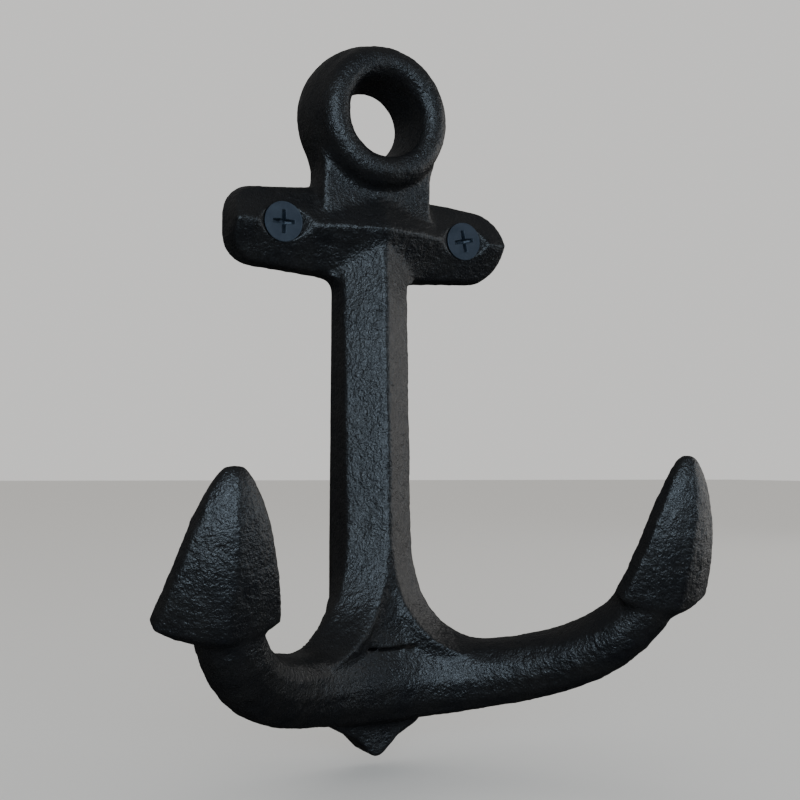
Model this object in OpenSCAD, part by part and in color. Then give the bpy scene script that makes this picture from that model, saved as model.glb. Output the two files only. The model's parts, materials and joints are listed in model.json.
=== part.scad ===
// Wall hook in the shape of an anchor: one iron casting and the two wood screws that hold it.
// Frame: X to the right, Y into the wall, Z up. The wall face is the plane y = 0, and the
// origin is on it, midway between the two screws. Lengths are millimetres.

/* [Screws] */
// Distance between the two screws
screw_spacing = 41.2; // [38:0.1:44]
// Diameter of the flat top of a screw head
screw_head_d = 8; // [7.6:0.1:8.4]
// Diameter of the shoulder inside the casting, which is also the thread's outer diameter
screw_shank_d = 4; // [3.8:0.1:4.2]
// Diameter of the plain neck behind the wall face
screw_neck_d = 3.5; // [3.3:0.05:3.6]
// Diameter of the core under the thread
screw_core_d = 2.8; // [2.6:0.1:3]
// Length of a screw from the top of its head to its point
screw_length = 30; // [25:1:40]
// Distance of the top of the head in front of the wall
screw_head_reach = 6.9; // [6.5:0.1:7.4]
// Length of the plain neck behind the wall face
screw_plain_behind = 3; // [2:0.5:6]
// Distance from one thread crest to the next
thread_pitch = 1.8; // [1.4:0.1:2.4]
// Angle that the right screw's cross is turned by
right_screw_turn = 12; // [0:1:44]

/* [Ring] */
// Height of the ring's centre above the screws
ring_height = 23.2; // [22.5:0.1:24]
// Outer radius of the ring at the wall
ring_radius = 15.4; // [15:0.1:16]
// Radius of the eye at the wall
eye_radius = 7.1; // [6.8:0.1:7.4]
// Radius of the eye's mouth
eye_mouth_radius = 8.3; // [8:0.1:8.6]
// How far the ring stands out from the wall
ring_reach = 12.4; // [11.5:0.1:13]

/* [Crossbar] */
// Length of the crossbar
bar_length = 62.2; // [60:0.1:66]
// Height of the crossbar at its middle
bar_height = 20.1; // [19:0.1:21]
// Height of the crossbar at its ends
bar_end_height = 16.2; // [15:0.1:17]
// Radius of the corners at its ends
bar_corner = 6; // [4:0.5:7]
// How far the ridge stands out at the middle
bar_ridge = 12.4; // [11.5:0.1:13]
// How far the ridge stands out at the ends
bar_end_ridge = 8; // [7.8:0.1:8.6]

/* [Shank] */
// Width of the shank
shank_width = 14.8; // [14:0.1:16]
// How far the shank's ridge stands out beside the crossbar
shank_ridge = 10.3; // [10:0.1:11]
// How far it stands out where it meets the arms at the crown
crown_ridge = 14.3; // [13.5:0.1:15]
// Height below the screws where the throats start on the shank's sides
throat_start = 61; // [58:0.5:63]
// Depth of the throats below the screws
throat_drop = 82.4; // [82.4:0.1:82.8]
// Distance of a throat's lowest point from the shank's middle
throat_out = 22.5; // [21:0.5:24]

/* [Arms] */
// Depth of the arms' middle line below the screws, at the crown
arm_drop = 89.9; // [89:0.1:91]
// Width of an arm at the fluke
arm_width = 10.8; // [10:0.1:12]
// Width of the arms at the crown
arm_root_width = 16.8; // [16.4:0.1:17.4]
// Depth of the crown's point below the screws
crown_drop = 105; // [103:0.5:107]

/* [Flukes] */
// Distance of a fluke's middle line from the shank's
fluke_out = 45.1; // [44:0.1:46]
// Distance of a fluke's foot in front of the wall
fluke_reach = 40.1; // [39:0.1:41]
// Depth of a fluke's foot below the screws
fluke_drop = 72.2; // [71.5:0.1:73]
// Length of the left fluke along its curve
left_fluke_length = 26.2; // [25:0.1:29]
// Length of the right fluke, which the mould filled a little further
right_fluke_length = 28.6; // [26:0.1:30]
// Width of a fluke across its barbs
fluke_width = 21.2; // [19:0.1:22]

/* [Hidden] */
$fn = 96;
iron = [0.07, 0.07, 0.08];
phosphate = [0.16, 0.18, 0.21];

// A cut goes this far past the face that it starts from
past = 1;
// Radial gap between a screw and its hole
screw_gap = 0.1;
// Rise of the sloping faces for each millimetre from the edge towards the ridge
slope = 0.62;

bar_half = bar_length / 2;
shank_half = shank_width / 2;
screw_x = screw_spacing / 2;
head_r = screw_head_d / 2;
shank_r = screw_shank_d / 2;
neck_r = screw_neck_d / 2;
core_r = screw_core_d / 2;
head_rim = 0.3;
point_length = 4;

// The crossbar's middle line is this far below the screws
bar_drop = 0.25;
// Half the length of the boss in its middle, and the ridge's reach where the boss would end
boss_half = 16;
boss_end_ridge = 8.2;
// The ridge's reach at the middle if there were no boss
plain_ridge = 9.2;
// How far the sides draw in from the wall to the height of the ridge
bar_draft = 2.2;

// The eye's middle is a little lower than the ring's
eye_drop = 0.3;
eye_land = 3;
ring_draft = 1.2;

// The neck under the ring, which runs into the ring's side at this angle below its middle
neck_half = 12.3;
neck_foot = 12.4;
neck_angle = 31;
neck_reach = 7.5;

// The round inner corners between the crossbar and the shank
corner_radius = 2.2;
// Half the width of the shank's blunt ridge, and how far its middle stands out
ridge_flat = 0.6;
ridge_crown = 0.2;
// The shank's core reaches this far, and its skin starts this far in front of the wall
core_reach = 5;
core_gap = 0.5;
// The sloping side of a throat: its width at the arm, and how far it stands out there
web_width = 3.6;
web_edge_reach = 14.6;
web_ridge_reach = 21;
web_back_reach = 14.2;
web_steps = 8;
// The valley between the two ridges
valley_reach = 13.4;
// The solid behind the crown's point starts this far below the screws
crown_top = 83;
web_hollow = 1.4;

// The arm's middle line as a cubic curve from the crown to the fluke: out, up, forward
arm_curve = [
    [0, -arm_drop, 9.3],
    [21.2, -arm_drop - 0.7, 8.4],
    [38.1, -arm_drop + 1.4, 36],
    [fluke_out - 1.7, -fluke_drop + 0.6, fluke_reach - 0.7]
];
// An odd number, so that no outline is on the middle plane
arm_steps = 25;
arm_back = 4.2;
arm_bevel = 0.9;
arm_front = 4.9;
arm_root_front = 5.9;

// The fluke's lean from the vertical at its foot and its tip
fluke_foot_lean = 28.5;
fluke_tip_lean = 3;
fluke_back = 1.9;
fluke_rim = 1.3;
fluke_rise = 0.42;
fluke_steps = 16;

function lerp(a, b, t) = a + (b - a) * t;
function unit(v) = v / norm(v);
function bezier(p, t) =
    pow(1 - t, 3) * p[0] + 3 * pow(1 - t, 2) * t * p[1] + 3 * (1 - t) * t * t * p[2] + pow(t, 3) * p[3];
function bezier_way(p, t) =
    unit(pow(1 - t, 2) * (p[1] - p[0]) + 2 * (1 - t) * t * (p[2] - p[1]) + t * t * (p[3] - p[2]));

// Turns shapes drawn as they face the viewer, with Z as the reach from the wall, into the frame
module facing() {
    rotate([90, 0, 0]) children();
}

// Joins closed outlines of the same number of points into one closed skin
module loft(rings) {
    count = len(rings[0]);
    last = len(rings) - 1;
    points = [for (ring = rings) for (p = ring) p];
    sides = [
        for (i = [0 : last - 1]) for (j = [0 : count - 1])
            let (a = i * count + j, b = i * count + (j + 1) % count)
            each [[a, b, b + count], [a, b + count, a + count]]
    ];
    first_cap = [for (j = [count - 1 : -1 : 0]) j];
    last_cap = [for (j = [0 : count - 1]) last * count + j];
    polyhedron(points, concat([first_cap, last_cap], sides), convexity = 6);
}

// A roof with its ridge along +X from the middle out, dropping from one reach to the other
module roof(reach, end_reach, length, half) {
    drop = atan2(reach - end_reach, length);
    translate([0, 0, reach]) rotate([0, drop, 0]) rotate([0, 90, 0])
        translate([0, 0, -5]) linear_extrude(length + 15)
            polygon([[0, 0], [slope * half, half], [reach + 10, half], [reach + 10, -half], [slope * half, -half]]);
}

module ring() {
    front_radius = ring_radius - ring_draft;
    tube = (front_radius - eye_mouth_radius + 0.4) / 2;
    middle = front_radius - tube;
    translate([0, ring_height, 0]) rotate_extrude() {
        translate([middle, ring_reach - tube]) circle(tube);
        polygon([
            [0, 0], [ring_radius, 0], [ring_radius + 0.2, 3], [ring_radius - 0.1, 6], [front_radius, ring_reach - tube],
            [middle, ring_reach - 0.01], [middle, 4], [0, 4]
        ]);
        translate([eye_mouth_radius - 2, 0]) square([middle - eye_mouth_radius + 2, ring_reach - tube]);
    }
}

// The eye: a short straight bore at the wall, then a cone out to the mouth
module eye() {
    mouth = ring_reach - 2.4;
    translate([0, ring_height - eye_drop, 0]) {
        translate([0, 0, -past]) cylinder(h = eye_land + 2 * past, r = eye_radius);
        translate([0, 0, eye_land]) cylinder(h = mouth - eye_land, r1 = eye_radius, r2 = eye_mouth_radius);
        translate([0, 0, mouth]) cylinder(h = ring_reach - mouth + past, r = eye_mouth_radius);
    }
}

module neck() {
    top = [ring_radius * cos(neck_angle), ring_height - ring_radius * sin(neck_angle)];
    linear_extrude(neck_reach) polygon([
        [-neck_half, 0], [neck_half, 0], [neck_half, neck_foot], top, [-top[0], top[1]], [-neck_half, neck_foot]
    ]);
}

// Half of the crossbar's outline, drawn in by the draft
module half_bar_outline(draft) {
    mid = bar_height / 2 - draft;
    end = bar_end_height / 2 - draft;
    length = bar_half - draft / 3;
    linear_extrude(0.01) {
        polygon([[0, -mid], [length - bar_corner, -end], [length - bar_corner, end], [0, mid]]);
        for (side = [-1, 1])
            translate([length - bar_corner, side * (end - bar_corner)]) circle(bar_corner, $fn = 32);
    }
}

module crossbar() {
    for (side = [0, 1]) mirror([side, 0, 0]) translate([0, -bar_drop, 0]) intersection() {
        hull() {
            half_bar_outline(0);
            translate([0, 0, bar_ridge]) half_bar_outline(bar_draft);
        }
        union() {
            roof(bar_ridge, boss_end_ridge, boss_half, bar_height);
            roof(plain_ridge, bar_end_ridge, bar_half, bar_height);
        }
    }
}

// One outline round the shank or the crown. Edge and ridge are [out, down, reach] on the right side.
function shank_ring(edge, ridge, hollow_reach, valley, back) =
    let (
        half = [
            [edge[0], -edge[1], back], [edge[0], -edge[1], edge[2]], [ridge[0], -ridge[1], ridge[2]],
            [ridge[0] / 2, -ridge[1], hollow_reach]
        ]
    )
    [
        [0, -ridge[1], valley],
        for (i = [len(half) - 1 : -1 : 0]) half[i],
        for (p = half) [-p[0], p[1], p[2]]
    ];

// The outline at a distance below the screws, with turn as the share of the way round the throat
function throat_ring(down, turn) =
    let (
        bow = 1 - cos(90 * turn),
        start_reach = lerp(shank_ridge, crown_ridge, down / arm_drop),
        edge = [
            lerp(shank_half, throat_out, pow(bow, 1.1)), down,
            lerp(start_reach - slope * shank_half, web_edge_reach, pow(turn, 4))
        ],
        ridge = [
            lerp(ridge_flat, throat_out, pow(bow, 1.25)), down + web_width * sin(90 * turn),
            lerp(start_reach, web_ridge_reach, pow(turn, 2.3))
        ],
        valley = lerp(start_reach + ridge_crown, valley_reach, turn)
    )
    shank_ring(edge, ridge, lerp(valley, ridge[2], 0.4) - web_hollow * turn, valley,
        lerp(core_gap, web_back_reach, pow(turn, 1.2)));

// The shank and the crown as one skin over a plain core. The shank's sloping sides run round the
// throats into the arms, and the front between the two ridges is a shallow valley. The last outline
// is inside the arms.
module shank() {
    fall = throat_drop - throat_start;
    loft([
        throat_ring(0, 0),
        for (i = [0 : web_steps])
            let (turn = i / web_steps) throat_ring(throat_start + fall * sin(90 * turn), turn),
        shank_ring([14, throat_drop + 6, 11.5], [14.5, throat_drop + 7, 15], 13.2, 11, 10)
    ]);
    translate([core_gap / 5 - shank_half, -crown_top - 2, 0])
        cube([shank_width - 2 * core_gap / 5, crown_top, core_reach]);
}

// The round inner corner between the crossbar and the shank's side
module bar_corner_fillet() {
    foot = -bar_drop - bar_height / 2 + 0.6;
    linear_extrude(5) difference() {
        translate([shank_half - 0.5, foot - corner_radius]) square([corner_radius + 0.5, corner_radius + 0.5]);
        translate([shank_half + corner_radius, foot - corner_radius]) circle(corner_radius);
    }
}

// The arm's outline across its middle line: a flat back with round corners and a domed front
function arm_section(half, front) = [
    for (a = [0 : 30 : 180]) [half * cos(a), 0.4 + (front - 0.4) * sin(a)],
    [-half, arm_bevel - arm_back], [arm_bevel - half, -arm_back],
    [half - arm_bevel, -arm_back], [half, arm_bevel - arm_back]
];

// One of the arms' outlines, from 0 at the crown to 1 at the right fluke or -1 at the left one
function arm_ring(place) =
    let (
        t = abs(place),
        middle = bezier(arm_curve, t),
        way = bezier_way(arm_curve, t),
        across = unit(cross([0, 0, -1], way)),
        out = cross(across, way),
        grow = pow(1 - t, 2),
        half = lerp(arm_width, arm_root_width, grow) / 2,
        front = lerp(arm_front, arm_root_front, grow)
    )
    [
        for (p = arm_section(half, front))
            let (point = middle + p[0] * across + p[1] * out) [sign(place) * point[0], point[1], point[2]]
    ];

// Both arms as one skin, from fluke to fluke
module arms() {
    loft([for (i = [0 : arm_steps]) arm_ring(2 * i / arm_steps - 1)]);
}

// Half the fluke's width at a distance from its foot along the curve, as a share of its length
function fluke_half(s) =
    s < 0 ? fluke_width / 2 * (1 + 4.2 * s) : fluke_width / 2 * pow(1 - s, 0.52);

module fluke(length) {
    bend = (fluke_foot_lean - fluke_tip_lean) / length;
    radius = 180 / PI / bend;
    stations = [-0.08, -0.05, -0.02, for (i = [0 : fluke_steps]) 0.985 * (1 - pow(1 - i / fluke_steps, 1.4))];
    loft([
        for (s = stations)
            let (
                lean = fluke_foot_lean - bend * s * length,
                z = -fluke_drop + radius * (sin(fluke_foot_lean) - sin(lean)),
                reach = fluke_reach + radius * (cos(lean) - cos(fluke_foot_lean)),
                half = fluke_half(s),
                thin = s > 0.7 ? lerp(1, 0.45, (s - 0.7) / 0.3) : 1,
                out = [0, -sin(lean), cos(lean)],
                section = [
                    [half, -fluke_back * thin], [half, fluke_rim * thin],
                    [half / 2, fluke_rim * thin + half * fluke_rise * 0.6], [0, fluke_rim * thin + half * fluke_rise],
                    [-half / 2, fluke_rim * thin + half * fluke_rise * 0.6], [-half, fluke_rim * thin],
                    [-half, -fluke_back * thin]
                ]
            )
            [for (p = section) [fluke_out + p[0], z, reach] + p[1] * out]
    ]);
}

module crown_point() {
    linear_extrude(8.4) polygon([
        [-8, -crown_top], [-8, -92], [-11, -96], [-9, -99], [-4.6, -101.2], [-1.2, 0.4 - crown_drop],
        [0, -crown_drop], [1.2, 0.4 - crown_drop], [4.6, -101.2], [9, -99], [11, -96], [8, -92], [8, -crown_top]
    ]);
}

module screw_hole(x) {
    top = bar_ridge + past;
    sink_r = head_r + screw_gap;
    sink_floor = screw_head_reach - head_rim - (sink_r - shank_r);
    translate([x, 0, -past]) cylinder(h = top, r = shank_r + screw_gap);
    translate([x, 0, sink_floor]) cylinder(h = top - sink_floor, r1 = shank_r, r2 = shank_r + top - sink_floor);
}

module anchor_casting() {
    color(iron) facing() difference() {
        union() {
            ring();
            neck();
            crossbar();
            // These two cross at a flat angle, so they are joined as one mesh, which keeps its size
            resize([0, 0, 0]) union() {
                shank();
                arms();
            }
            crown_point();
            for (side = [0, 1]) mirror([side, 0, 0]) {
                bar_corner_fillet();
                fluke(side == 0 ? right_fluke_length : left_fluke_length);
            }
        }
        eye();
        for (side = [-1, 1]) screw_hole(side * screw_x);
    }
}

// A wood screw with its axis along Z and the top of its head at the height of its reach
module screw() {
    cone = head_r - shank_r;
    thread_start = -screw_plain_behind;
    thread_end = screw_head_reach - screw_length + point_length;
    turns = floor((thread_start - thread_end) / thread_pitch);
    difference() {
        rotate_extrude() polygon([
            [0, screw_head_reach], [head_r, screw_head_reach], [head_r, screw_head_reach - head_rim],
            [shank_r, screw_head_reach - head_rim - cone], [shank_r, 0],
            [neck_r, neck_r - shank_r], [neck_r, thread_start],
            for (i = [0 : turns - 1]) each [
                [core_r, thread_start - thread_pitch * (i + 0.3)],
                [core_r, thread_start - thread_pitch * (i + 0.6)],
                [shank_r, thread_start - thread_pitch * (i + 1)]
            ],
            [core_r, thread_start - thread_pitch * (turns + 0.3)], [core_r, thread_end],
            [0, screw_head_reach - screw_length]
        ]);
        for (turn = [0, 90]) rotate([0, 0, turn]) translate([-2.5, -0.5, screw_head_reach - 1.8])
            cube([5, 1, 1.8 + past]);
    }
}

module left_screw() {
    color(phosphate) facing() translate([-screw_x, 0, 0]) screw();
}

module right_screw() {
    color(phosphate) facing() translate([screw_x, 0, 0]) rotate([0, 0, -right_screw_turn]) screw();
}

anchor_casting();
left_screw();
right_screw();
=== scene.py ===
import json
import math

import bpy
import numpy as np
from mathutils import Matrix, Vector, noise


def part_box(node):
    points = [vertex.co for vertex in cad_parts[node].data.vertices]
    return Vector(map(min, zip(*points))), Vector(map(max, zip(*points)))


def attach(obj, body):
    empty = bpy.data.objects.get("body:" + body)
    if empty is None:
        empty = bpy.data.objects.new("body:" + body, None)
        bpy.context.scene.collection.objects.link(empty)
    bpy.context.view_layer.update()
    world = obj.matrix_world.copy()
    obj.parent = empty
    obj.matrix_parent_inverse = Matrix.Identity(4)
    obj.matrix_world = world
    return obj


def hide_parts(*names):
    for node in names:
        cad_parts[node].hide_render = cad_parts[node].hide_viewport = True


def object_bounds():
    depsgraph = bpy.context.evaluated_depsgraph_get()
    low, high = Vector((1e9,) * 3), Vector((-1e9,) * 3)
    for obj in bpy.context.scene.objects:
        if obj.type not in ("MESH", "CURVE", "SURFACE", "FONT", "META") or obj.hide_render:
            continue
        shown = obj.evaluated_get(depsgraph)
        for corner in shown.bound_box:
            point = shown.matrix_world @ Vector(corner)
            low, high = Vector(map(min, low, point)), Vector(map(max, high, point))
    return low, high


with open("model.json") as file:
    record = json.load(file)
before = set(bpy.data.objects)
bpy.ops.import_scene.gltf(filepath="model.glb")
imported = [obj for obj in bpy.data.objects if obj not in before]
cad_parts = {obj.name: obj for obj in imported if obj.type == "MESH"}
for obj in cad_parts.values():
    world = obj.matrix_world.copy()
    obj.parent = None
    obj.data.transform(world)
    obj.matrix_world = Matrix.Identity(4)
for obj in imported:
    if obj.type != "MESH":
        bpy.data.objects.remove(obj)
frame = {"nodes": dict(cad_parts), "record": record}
cad_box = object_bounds()

# The frame is in metres. The pieces' meshes are made in millimetres and scaled by this at the end.
MM = 0.001

CASTING = "anchor_casting"
SCREWS = ("left_screw", "right_screw")
screw_joints = {j["child"]: j for j in frame["record"]["behaviour"]["joints"]}


# ---------------------------------------------------------------- camera, floor and lights

def place_camera():
    """The viewer stands to the left of the hook and a little below its middle."""
    azimuth, elevation, roll = math.radians(28.5), math.radians(-3.2), math.radians(0.3)
    aim = Vector((9.1, 0, -33.7)) * MM
    distance = 246.2 * MM
    nearest = 5 * MM
    back = Vector((
        -math.sin(azimuth) * math.cos(elevation),
        -math.cos(azimuth) * math.cos(elevation),
        math.sin(elevation),
    ))
    right = Vector((math.cos(azimuth), -math.sin(azimuth), 0))
    up = back.cross(right)
    turned_right = right * math.cos(roll) + up * math.sin(roll)
    turned_up = up * math.cos(roll) - right * math.sin(roll)
    data = bpy.data.cameras.new("camera")
    data.lens = 52.56
    data.sensor_width = 36
    data.clip_start = nearest
    camera = bpy.data.objects.new("camera", data)
    axes = Matrix((turned_right, turned_up, back)).transposed().to_4x4()
    camera.matrix_world = Matrix.Translation(aim + back * distance) @ axes
    bpy.context.scene.collection.objects.link(camera)
    bpy.context.scene.camera = camera


def pale_material():
    material = bpy.data.materials.new("pale_floor")
    material.use_nodes = True
    shader = material.node_tree.nodes["Principled BSDF"]
    shader.inputs["Base Color"].default_value = (0.72, 0.71, 0.69, 1)
    shader.inputs["Roughness"].default_value = 0.9
    return material


def place_floor():
    """A plain pale floor just under the crown's point."""
    half = 4.0
    gap = 3 * MM
    height = cad_box[0][2] - gap
    mesh = bpy.data.meshes.new("floor")
    corners = [(x * half, y * half, height) for x, y in ((-1, -1), (1, -1), (1, 1), (-1, 1))]
    mesh.from_pydata(corners, [], [(0, 1, 2, 3)])
    floor = bpy.data.objects.new("floor", mesh)
    mesh.materials.append(pale_material())
    # The hook hangs on a wall, so its undersides don't mirror a bright floor
    floor.visible_glossy = False
    bpy.context.scene.collection.objects.link(floor)


def soft_light(name, towards, distance, width, height, watts, colour):
    """An area light that faces the middle of the hook from a given side."""
    middle = (Vector(cad_box[0]) + Vector(cad_box[1])) / 2
    data = bpy.data.lights.new(name, "AREA")
    data.shape = "RECTANGLE"
    data.size = width
    data.size_y = height
    data.energy = watts
    data.color = colour
    light = bpy.data.objects.new(name, data)
    side = Vector(towards).normalized()
    light.location = middle + side * distance
    light.rotation_euler = side.to_track_quat("Z", "Y").to_euler()
    bpy.context.scene.collection.objects.link(light)


def place_lights():
    soft_light(
        "window", towards=(-0.36, -0.92, 0.12), distance=0.75,
        width=0.56, height=0.3, watts=4.4, colour=(0.66, 0.83, 1.0),
    )
    soft_light(
        "right_window", towards=(0.84, -0.53, 0.05), distance=0.8,
        width=0.2, height=0.4, watts=0.9, colour=(0.7, 0.85, 1.0),
    )
    soft_light(
        "right_side", towards=(0.98, -0.02, 0.12), distance=0.8,
        width=0.7, height=0.6, watts=1.3, colour=(1.0, 0.98, 0.95),
    )


def light_world():
    """A pale studio. Gloss mirrors a dimmer one, darkest below, as under a hook that hangs on a wall."""
    world = bpy.data.worlds.new("studio")
    bpy.context.scene.world = world
    world.use_nodes = True
    nodes, links = world.node_tree.nodes, world.node_tree.links
    nodes.clear()
    pale = nodes.new("ShaderNodeBackground")
    pale.inputs["Color"].default_value = (0.80, 0.79, 0.77, 1)
    dim = nodes.new("ShaderNodeBackground")
    way = nodes.new("ShaderNodeTexCoord")
    height = nodes.new("ShaderNodeSeparateXYZ")
    links.new(way.outputs["Generated"], height.inputs[0])
    shade = ramp_node(nodes, links, height.outputs["Z"], [(0.0, 0.012), (0.35, 0.1)])
    links.new(shade.outputs["Color"], dim.inputs["Color"])
    rays = nodes.new("ShaderNodeLightPath")
    mix = nodes.new("ShaderNodeMixShader")
    output = nodes.new("ShaderNodeOutputWorld")
    links.new(rays.outputs["Is Glossy Ray"], mix.inputs["Fac"])
    links.new(pale.outputs[0], mix.inputs[1])
    links.new(dim.outputs[0], mix.inputs[2])
    links.new(mix.outputs[0], output.inputs["Surface"])


# ---------------------------------------------------------------- materials

def noise_node(nodes, links, place, scale, detail, roughness=0.5):
    """Noise with about this many waves to the metre."""
    node = nodes.new("ShaderNodeTexNoise")
    node.inputs["Scale"].default_value = scale
    node.inputs["Detail"].default_value = detail
    node.inputs["Roughness"].default_value = roughness
    links.new(place, node.inputs["Vector"])
    return node


def ramp_node(nodes, links, value, stops):
    """A colour ramp. Each stop is a position and a grey level or a colour."""
    node = nodes.new("ShaderNodeValToRGB")
    ramp = node.color_ramp
    while len(ramp.elements) < len(stops):
        ramp.elements.new(0.5)
    for element, (position, colour) in zip(ramp.elements, stops):
        element.position = position
        element.color = (colour, colour, colour, 1) if isinstance(colour, float) else (*colour, 1)
    links.new(value, node.inputs["Fac"])
    return node


def bump_node(nodes, links, height, distance, strength, under=None):
    """Relief of a given depth, laid over the relief under it."""
    node = nodes.new("ShaderNodeBump")
    node.inputs["Distance"].default_value = distance
    node.inputs["Strength"].default_value = strength
    links.new(height, node.inputs["Height"])
    if under:
        links.new(under, node.inputs["Normal"])
    return node


def painted_iron():
    """Semi-gloss black paint over the pebbly skin of a sand casting."""
    material = bpy.data.materials.new("black_painted_iron")
    material.use_nodes = True
    nodes, links = material.node_tree.nodes, material.node_tree.links
    shader = nodes["Principled BSDF"]
    shader.inputs["IOR"].default_value = 1.5
    place = nodes.new("ShaderNodeTexCoord").outputs["Object"]

    # The paint is a little browner and duller where it is thin over the grain
    patches = noise_node(nodes, links, place, scale=140, detail=4)
    colour = ramp_node(nodes, links, patches.outputs["Fac"], [
        (0.3, (0.0045, 0.0047, 0.0056)),
        (0.7, (0.0085, 0.0082, 0.0080)),
    ])
    links.new(colour.outputs["Color"], shader.inputs["Base Color"])

    sheen_patches = noise_node(nodes, links, place, scale=900, detail=3)
    gloss = ramp_node(nodes, links, sheen_patches.outputs["Fac"], [(0.3, 0.27), (0.7, 0.42)])
    links.new(gloss.outputs["Color"], shader.inputs["Roughness"])

    # Sand grains of about half a millimetre, and a finer tooth in the paint
    grains = noise_node(nodes, links, place, scale=2100, detail=2, roughness=0.6)
    tooth = noise_node(nodes, links, place, scale=5200, detail=2)
    grain_depth, tooth_depth = 0.2 * MM, 0.03 * MM
    grain = bump_node(nodes, links, grains.outputs["Fac"], grain_depth, 1.0)
    relief = bump_node(nodes, links, tooth.outputs["Fac"], tooth_depth, 0.8, under=grain.outputs["Normal"])
    links.new(relief.outputs["Normal"], shader.inputs["Normal"])
    return material


def phosphated_steel():
    """The even blue-black skin of a phosphated wood screw."""
    material = bpy.data.materials.new("black_screw_steel")
    material.use_nodes = True
    nodes, links = material.node_tree.nodes, material.node_tree.links
    shader = nodes["Principled BSDF"]
    shader.inputs["Metallic"].default_value = 0.35
    place = nodes.new("ShaderNodeTexCoord").outputs["Object"]
    patches = noise_node(nodes, links, place, scale=500, detail=4)
    colour = ramp_node(nodes, links, patches.outputs["Fac"], [
        (0.3, (0.016, 0.024, 0.036)),
        (0.7, (0.026, 0.036, 0.050)),
    ])
    links.new(colour.outputs["Color"], shader.inputs["Base Color"])
    crystals = noise_node(nodes, links, place, scale=3500, detail=3)
    gloss = ramp_node(nodes, links, crystals.outputs["Fac"], [(0.3, 0.42), (0.7, 0.58)])
    links.new(gloss.outputs["Color"], shader.inputs["Roughness"])
    crystal_depth = 0.02 * MM
    relief = bump_node(nodes, links, crystals.outputs["Fac"], crystal_depth, 0.7)
    links.new(relief.outputs["Normal"], shader.inputs["Normal"])
    return material


# ---------------------------------------------------------------- the casting

FINE_VOXEL = 0.27
# Rounds of filling and softening at the fine side, and the share of the way moved in each
FILL_ROUNDS = 110
SOFTEN_ROUNDS = 20
ROUND_SHARE = 0.5
# The skin is nearly still up to the first distance from a screw's axis, and free past the second
SEAT_STILL = 4.2
SEAT_FREE = 5.6
SEAT_SHARE = 0.05
# The grain is faint on the back up to the first distance from the wall, and full past the second
BACK_FAINT = 0.2
BACK_FULL = 1.2
BACK_SHARE = 0.15
# The skin starts this far inside the solid, which leaves room for the grain
SKIN_SINK = 0.03
# Height, width and shift of each layer of the cast surface, from slow waves to single grains
SAND_LAYERS = (
    (0.16, 10, Vector((0, 0, 0))),
    (0.09, 3.4, Vector((7, 3, 5))),
    (0.06, 1.3, Vector((1, 9, 4))),
    (0.06, 0.7, Vector((4, 2, 8))),
)
SPOT_COUNT = 240
SPOT_SEED = 11
NODULE_SHARE = 0.65


def smooth_step(value, low, high):
    """Rises smoothly from 0 to 1 while the value goes from low to high."""
    share = np.clip((value - low) / (high - low), 0, 1)
    return share * share * (3 - 2 * share)


def remeshed_casting(voxel):
    """The casting's solid as an even skin of small squares, in millimetres."""
    mesh = frame["nodes"][CASTING].data.copy()
    mesh.transform(Matrix.Scale(1 / MM, 4))
    solid = bpy.data.objects.new("casting_skin", mesh)
    bpy.context.scene.collection.objects.link(solid)
    remesh = solid.modifiers.new("skin", "REMESH")
    remesh.mode = "VOXEL"
    remesh.voxel_size = voxel
    skin = bpy.data.meshes.new_from_object(solid.evaluated_get(bpy.context.evaluated_depsgraph_get()))
    bpy.data.objects.remove(solid)
    bpy.data.meshes.remove(mesh)
    return skin


class Skin:
    """A mesh's points as an array, with the mean of each point's neighbours and its normal."""

    def __init__(self, mesh):
        self.mesh = mesh
        self.points = np.empty(len(mesh.vertices) * 3)
        mesh.vertices.foreach_get("co", self.points)
        self.points = self.points.reshape(-1, 3)
        edges = np.empty(len(mesh.edges) * 2, int)
        mesh.edges.foreach_get("vertices", edges)
        self.ends = edges.reshape(-1, 2).T
        self.count = np.bincount(self.ends.ravel(), minlength=len(self.points))

    def pull(self):
        """The way from each point to the mean of its neighbours."""
        total = np.empty_like(self.points)
        size = len(self.points)
        first, second = self.ends
        for axis in range(3):
            values = self.points[:, axis]
            total[:, axis] = np.bincount(first, values[second], size)
            total[:, axis] += np.bincount(second, values[first], size)
        return total / self.count[:, None] - self.points

    def normals(self):
        self.store()
        normals = np.empty(len(self.points) * 3)
        self.mesh.vertex_normals.foreach_get("vector", normals)
        return normals.reshape(-1, 3)

    def store(self):
        self.mesh.vertices.foreach_set("co", self.points.ravel())
        self.mesh.update()


def fill_corners(skin, rounds, weight):
    """Rounds the inner corners only, as the fillets of a casting do."""
    for _ in range(rounds):
        normals = skin.normals()
        outward = np.clip((skin.pull() * normals).sum(1), 0, None)
        skin.points += ROUND_SHARE * (outward * weight)[:, None] * normals


def soften(skin, rounds, weight):
    """Rounds everything a little, the edges included."""
    for _ in range(rounds):
        skin.points += ROUND_SHARE * skin.pull() * weight[:, None]


def sand_height(point):
    """Height of the cast surface over its smooth form."""
    return sum(height * noise.noise(point / width + shift) for height, width, shift in SAND_LAYERS)


def spot_heights(points, count, seed):
    """Scattered nodules and pits left by the sand."""
    draw = np.random.default_rng(seed)
    heights = np.zeros(len(points))
    for centre in points[draw.integers(0, len(points), count)]:
        radius = draw.uniform(0.35, 0.9)
        height = draw.uniform(0.06, 0.16) * (1 if draw.random() < NODULE_SHARE else -1)
        gap = np.square(points - centre).sum(1)
        near = gap < 9 * radius * radius
        heights[near] += height * np.exp(-gap[near] / (radius * radius))
    return heights


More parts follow.
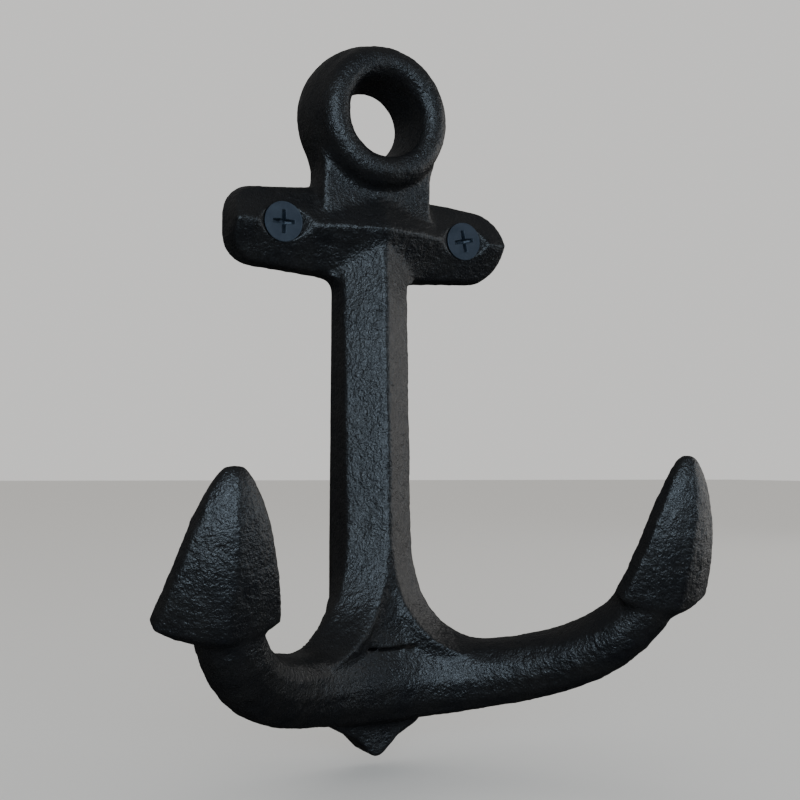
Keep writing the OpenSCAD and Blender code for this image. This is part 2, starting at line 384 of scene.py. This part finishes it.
def screw_axis_gap(points):
    """Each point's distance from the nearer screw's axis."""
    gaps = [
        np.hypot(points[:, 0] - joint["pos_m"][0] / MM, points[:, 2] - joint["pos_m"][2] / MM)
        for joint in screw_joints.values()
    ]
    return np.minimum(*gaps)


def add_sand_surface(skin, free):
    """The uneven surface of a sand casting, kept inside the solid's own box."""
    normals = skin.normals()
    heights = np.array([sand_height(Vector(point)) for point in skin.points])
    heights += spot_heights(skin.points, SPOT_COUNT, SPOT_SEED)
    # The back is ground flat
    front = BACK_SHARE + (1 - BACK_SHARE) * smooth_step(-skin.points[:, 1], BACK_FAINT, BACK_FULL)
    skin.points += (heights * free * front - SKIN_SINK)[:, None] * normals
    low, high = (np.array(corner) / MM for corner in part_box(CASTING))
    skin.points = np.clip(skin.points, low, high)
    skin.store()


def finish_piece(name, mesh, material, node, body):
    """Makes a mesh in millimetres a smooth piece of the frame, in place of a node."""
    mesh.transform(Matrix.Scale(MM, 4))
    mesh.materials.clear()
    mesh.materials.append(material)
    mesh.polygons.foreach_set("use_smooth", [True] * len(mesh.polygons))
    mesh.update()
    piece = bpy.data.objects.new(name, mesh)
    bpy.context.scene.collection.objects.link(piece)
    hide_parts(node)
    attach(piece, body)


def make_casting():
    voxel = FINE_VOXEL
    skin = Skin(remeshed_casting(voxel))
    # The screws' seats keep their fit
    free = SEAT_SHARE + (1 - SEAT_SHARE) * smooth_step(screw_axis_gap(skin.points), SEAT_STILL, SEAT_FREE)
    # A coarser skin is as round after fewer rounds
    fewer = (FINE_VOXEL / voxel) ** 2
    fill_corners(skin, round(FILL_ROUNDS * fewer), free)
    soften(skin, round(SOFTEN_ROUNDS * fewer), free)
    add_sand_surface(skin, free)
    finish_piece("cast_hook", skin.mesh, painted_iron(), CASTING, "casting")


# ---------------------------------------------------------------- the screws

# The plain shank, which ends this far behind the wall, and the core under the thread
SHANK_RADIUS = 2.0
SHANK_END = 3.0
CORE_RADIUS = 1.4
POINT_LENGTH = 4.0
# The head: its upright rim, the fall of its top towards the edge, and the two steps that round the edge
HEAD_RIM = 0.3
HEAD_FALL = 0.05
HEAD_ROUNDING = 0.12
HEAD_SECOND_STEP = 0.036
HEAD_FIRST_FALL = 0.01
RIGHT_TURN = math.radians(12)
# The thread: it grows out of the shank, and fades out before the point
THREAD_PITCH = 1.8
THREAD_HEIGHT = 0.6
THREAD_HALF_WIDTH = 0.3
THREAD_RUN_IN = 1.2
THREAD_RUN_OUT = 3.0
SHANK_RUN_OUT = 1.0
# The cross recess: slots that get narrower and shallower outwards, with a square well in the middle
RECESS_REACH = 2.35
RECESS_DEPTH = 1.9
RECESS_HALF_WIDTH = 0.5
RECESS_NARROWING = 0.25
RECESS_RISE = 0.62
RECESS_SIDE_RUN = 0.16
RECESS_END_RUN = 0.3
WELL_REACH = 0.95
WELL_RUN = 0.2
# Points round the screw, and rows along each part of it
SCREW_AROUND = 144
HEAD_ROWS = 44
CONE_ROWS = 8
SHANK_ROWS = 10
THREAD_ROW_GAP = 0.12


def ramp_up(value, run):
    """Rises from 0 to 1 while the value goes from 0 to run."""
    return min(max(value / run, 0), 1)


def recess_depth(across, along):
    """Depth of the cross recess under the head's top."""
    depth = 0.0
    for length, width in ((abs(across), abs(along)), (abs(along), abs(across))):
        half = RECESS_HALF_WIDTH * (1 - RECESS_NARROWING * length / RECESS_REACH)
        floor = RECESS_DEPTH * (1 - RECESS_RISE * length / RECESS_REACH)
        side = ramp_up(half - width, RECESS_SIDE_RUN)
        end = ramp_up(RECESS_REACH - length, RECESS_END_RUN)
        depth = max(depth, floor * min(side, end))
    well = ramp_up(WELL_REACH - abs(across) - abs(along), WELL_RUN)
    return max(depth, RECESS_DEPTH * well)


def screw_rows(head_r, head_y, tip_y):
    """Rows of (radius, y, kind) from the middle of the head to the point."""
    spacing = head_r / (HEAD_ROWS + 2)
    rows = [(spacing * i, head_y, "head") for i in range(1, HEAD_ROWS + 1)]
    rows += [
        (head_r - HEAD_ROUNDING, head_y + HEAD_FIRST_FALL, "plain"),
        (head_r - HEAD_SECOND_STEP, head_y + HEAD_SECOND_STEP, "plain"),
        (head_r, head_y + HEAD_ROUNDING, "plain"),
        (head_r, head_y + HEAD_RIM, "plain"),
    ]
    cone = head_r - SHANK_RADIUS
    cone_start = head_y + HEAD_RIM
    cone_end = cone_start + cone
    for i in range(1, CONE_ROWS + 1):
        run = cone * i / CONE_ROWS
        rows.append((head_r - run, cone_start + run, "plain"))
    for i in range(1, SHANK_ROWS + 1):
        rows.append((SHANK_RADIUS, cone_end + (SHANK_END - cone_end) * i / SHANK_ROWS, "plain"))
    for i in range(1, int((tip_y - SHANK_END) / THREAD_ROW_GAP)):
        y = SHANK_END + i * THREAD_ROW_GAP
        taper = min((tip_y - y) / POINT_LENGTH, 1)
        rows.append((CORE_RADIUS * taper, y, "thread"))
    return rows


def thread_rise(y, angle, tip_y):
    """Height of the helical thread over its core."""
    turn = (y / THREAD_PITCH - angle / (2 * math.pi)) % 1
    crest = max(0, 1 - abs(turn - 0.5) / THREAD_HALF_WIDTH)
    run_in = ramp_up(y - SHANK_END, THREAD_RUN_IN)
    run_out = ramp_up(tip_y - y, THREAD_RUN_OUT)
    return THREAD_HEIGHT * crest * run_in * run_out


def shank_rise(y):
    """Height over the core of the cone that joins the shank to the thread."""
    return (SHANK_RADIUS - CORE_RADIUS) * max(0, 1 - (y - SHANK_END) / SHANK_RUN_OUT)


def screw_point(row, angle, turn, head_r, tip_y):
    """The point of a row at an angle round the screw's axis."""
    radius, y, kind = row
    if kind == "head":
        y += recess_depth(radius * math.cos(angle - turn), radius * math.sin(angle - turn))
        y += HEAD_FALL * (radius / head_r) ** 6
    elif kind == "thread":
        radius += max(shank_rise(y), thread_rise(y, angle, tip_y))
    return (radius * math.cos(angle), y, radius * math.sin(angle))


def screw_mesh(name, head_r, head_y, tip_y, turn):
    """A closed mesh round the Y axis, in millimetres."""
    rows = screw_rows(head_r, head_y, tip_y)
    angles = [2 * math.pi * k / SCREW_AROUND for k in range(SCREW_AROUND)]
    points = [(0, head_y + recess_depth(0, 0), 0)]
    points += [screw_point(row, angle, turn, head_r, tip_y) for row in rows for angle in angles]
    points.append((0, tip_y, 0))
    tip = len(points) - 1
    after = [(k, (k + 1) % SCREW_AROUND) for k in range(SCREW_AROUND)]
    faces = [(0, 1 + k, 1 + n) for k, n in after]
    for row in range(len(rows) - 1):
        upper = 1 + row * SCREW_AROUND
        lower = upper + SCREW_AROUND
        faces += [(upper + k, lower + k, lower + n, upper + n) for k, n in after]
    last = tip - SCREW_AROUND
    faces += [(last + k, tip, last + n) for k, n in after]
    mesh = bpy.data.meshes.new(name)
    mesh.from_pydata(points, [], faces)
    return mesh


def make_screw(node, steel):
    low, high = (np.array(corner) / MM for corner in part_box(node))
    middle = (low + high) / 2
    turn = RIGHT_TURN if node == "right_screw" else 0.0
    mesh = screw_mesh(node, (high[0] - low[0]) / 2, low[1], high[1], turn)
    mesh.transform(Matrix.Translation((middle[0], 0, middle[2])))
    finish_piece(node.replace("_screw", "_wood_screw"), mesh, steel, node, node)


place_camera()
place_floor()
place_lights()
light_world()
make_casting()
steel = phosphated_steel()
for node in SCREWS:
    make_screw(node, steel)
